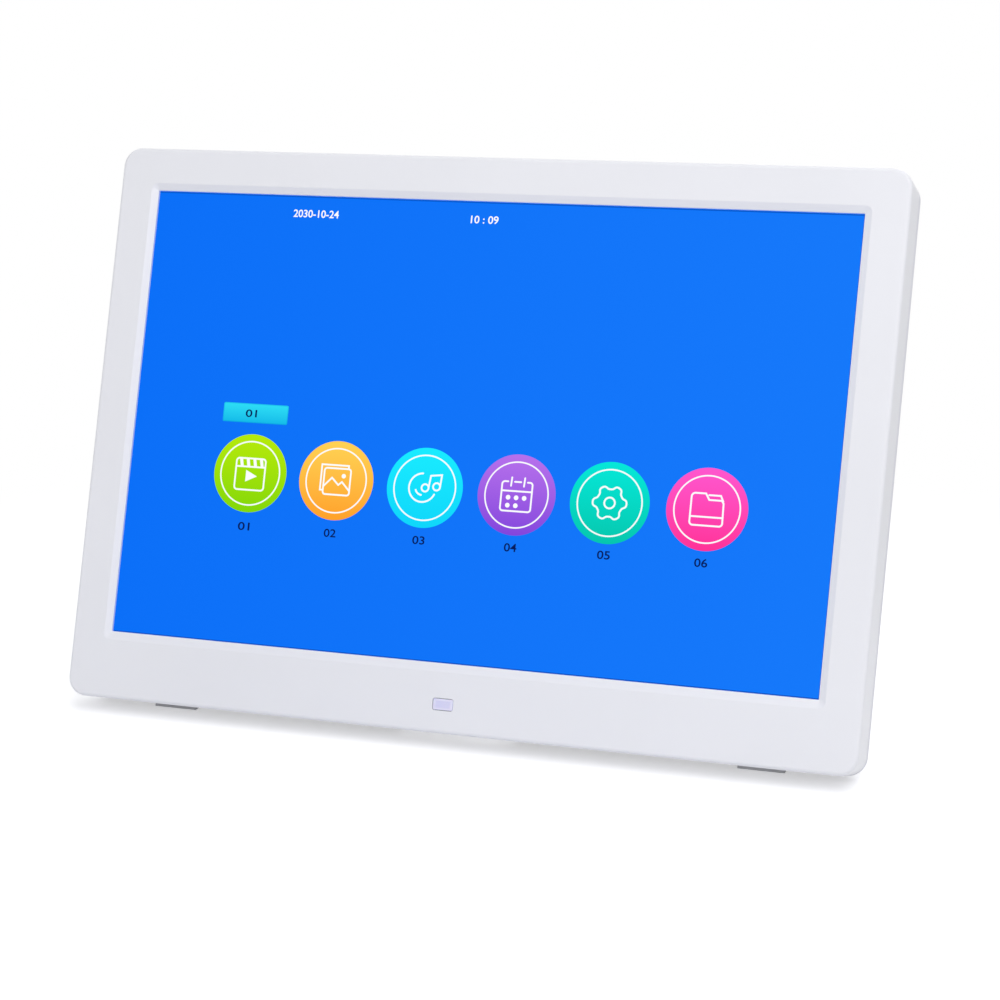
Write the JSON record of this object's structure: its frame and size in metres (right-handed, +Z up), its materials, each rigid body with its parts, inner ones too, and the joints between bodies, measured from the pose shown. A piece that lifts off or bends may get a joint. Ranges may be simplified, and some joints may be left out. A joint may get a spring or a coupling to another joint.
{
  "type": "digital photo frame",
  "caption": "Flat digital photo frame leaning on a hinged rear leg, with a lit widescreen display, push keys, side sockets and wall hangers.",
  "frame": {"origin": "on the table under the middle of the whole frame, leg included", "axes": "+Z up, -Y towards the viewer of the display, +X to the right as seen from the front"},
  "size_m": [0.3192, 0.0938, 0.2185],
  "materials": {
    "acrylic": "clear light guide",
    "aluminium_sheet": "pressed sheet",
    "black_anodised": "black anodised",
    "black_chip": "moulded package",
    "black_foam": "closed-cell foam",
    "black_plastic": "moulded",
    "blue_board": "solder-resist blue",
    "cell_steel": "nickel plated",
    "dark_slider": "moulded",
    "display_glass": "lit display behind satin glass",
    "ferrite": "sintered ferrite",
    "film": "diffusing film",
    "green_board": "solder-resist green",
    "grey_insert": "light grey moulding",
    "key_white": "glossy cap",
    "led_strip": "white board with yellow diodes",
    "magnet": "plated ring magnet",
    "milky_window": "milky translucent",
    "nickel_pin": "nickel-plated brass",
    "paper_cone": "black paper",
    "red_lead": "insulated lead",
    "silver_can": "drawn can",
    "speaker_steel": "black lacquer",
    "tape": "yellow tape",
    "tin_steel": "tin plated",
    "white_back": "fine-textured white moulding",
    "white_plug": "nylon plug",
    "white_ribbon": "flat flexible cable",
    "white_rubber": "soft silicone",
    "white_shell": "satin white moulding",
    "zinc_steel": "zinc plated"
  },
  "bodies": {
    "housing": {"backlight_tray": "aluminium_sheet", "board_screws": "zinc_steel", "card_socket": "tin_steel", "case_screws": "zinc_steel", "cell_holder": "black_plastic", "clock_cell": "cell_steel", "dc_jack": "black_plastic", "dc_jack_pin": "nickel_pin", "display_clips": "zinc_steel", "display_frame": "tin_steel", "display_glass": "display_glass", "display_ribbon": "white_ribbon", "driver_board": "green_board", "foot_pads": "white_rubber", "front_bezel": "white_shell", "hanger_plates": "zinc_steel", "headphone_jack": "black_plastic", "heat_sink": "black_anodised", "hinge_washers": "zinc_steel", "ir_board": "green_board", "ir_receiver": "black_chip", "ir_window": "milky_window", "key_board": "green_board", "key_ribbon": "white_ribbon", "lead_plugs": "white_plug", "lead_tapes": "tape", "led_strip": "led_strip", "light_guide": "acrylic", "main_board": "blue_board", "memory_chips": "black_chip", "optical_films": "film", "port_panel": "grey_insert", "power_capacitors": "silver_can", "power_inductors": "ferrite", "power_switch_body": "tin_steel", "processor": "black_chip", "rear_cover": "white_back", "screen_gasket": "black_foam", "speaker_basket_left": "speaker_steel", "speaker_basket_right": "speaker_steel", "speaker_cone_left": "paper_cone", "speaker_cone_right": "paper_cone", "speaker_lead_left": "red_lead", "speaker_lead_right": "red_lead", "speaker_magnet_left": "magnet", "speaker_magnet_right": "magnet", "stand_pin": "zinc_steel", "tact_switches": "black_plastic", "usb_socket": "tin_steel", "usb_tongue": "black_plastic"},
    "stand": {"stand_leg": "white_back", "stand_foot_pad": "white_rubber"},
    "power_slider": {"power_slider": "dark_slider"},
    "power_key": {"power_key": "key_white"},
    "menu_key": {"menu_key": "key_white"},
    "left_key": {"left_key": "key_white"},
    "up_key": {"up_key": "key_white"},
    "down_key": {"down_key": "key_white"},
    "right_key": {"right_key": "key_white"},
    "enter_key": {"enter_key": "key_white"}
  },
  "joints": [
    {"name": "stand_hinge", "type": "hinge", "parent": "housing", "child": "stand", "pos_m": [0, 0.02043, 0.14324], "axis": [1, 0, 0], "range_deg": [-28, 0]},
    {"name": "power_press", "type": "slide", "parent": "housing", "child": "power_key", "axis": [0, -0.9489, 0.3156], "range_m": [0, 0.0005], "stiffness_N_per_m": 300, "springref_m": -0.004},
    {"name": "menu_press", "type": "slide", "parent": "housing", "child": "menu_key", "axis": [0, -0.9489, 0.3156], "range_m": [0, 0.0005], "stiffness_N_per_m": 300, "springref_m": -0.004},
    {"name": "left_press", "type": "slide", "parent": "housing", "child": "left_key", "axis": [0, -0.9489, 0.3156], "range_m": [0, 0.0005], "stiffness_N_per_m": 300, "springref_m": -0.004},
    {"name": "up_press", "type": "slide", "parent": "housing", "child": "up_key", "axis": [0, -0.9489, 0.3156], "range_m": [0, 0.0005], "stiffness_N_per_m": 300, "springref_m": -0.004},
    {"name": "down_press", "type": "slide", "parent": "housing", "child": "down_key", "axis": [0, -0.9489, 0.3156], "range_m": [0, 0.0005], "stiffness_N_per_m": 300, "springref_m": -0.004},
    {"name": "right_press", "type": "slide", "parent": "housing", "child": "right_key", "axis": [0, -0.9489, 0.3156], "range_m": [0, 0.0005], "stiffness_N_per_m": 300, "springref_m": -0.004},
    {"name": "enter_press", "type": "slide", "parent": "housing", "child": "enter_key", "axis": [0, -0.9489, 0.3156], "range_m": [0, 0.0005], "stiffness_N_per_m": 300, "springref_m": -0.004},
    {"name": "power_slide", "type": "slide", "parent": "housing", "child": "power_slider", "axis": [0, 0.3156, 0.9489], "range_m": [0, 0.003]}
  ]
}
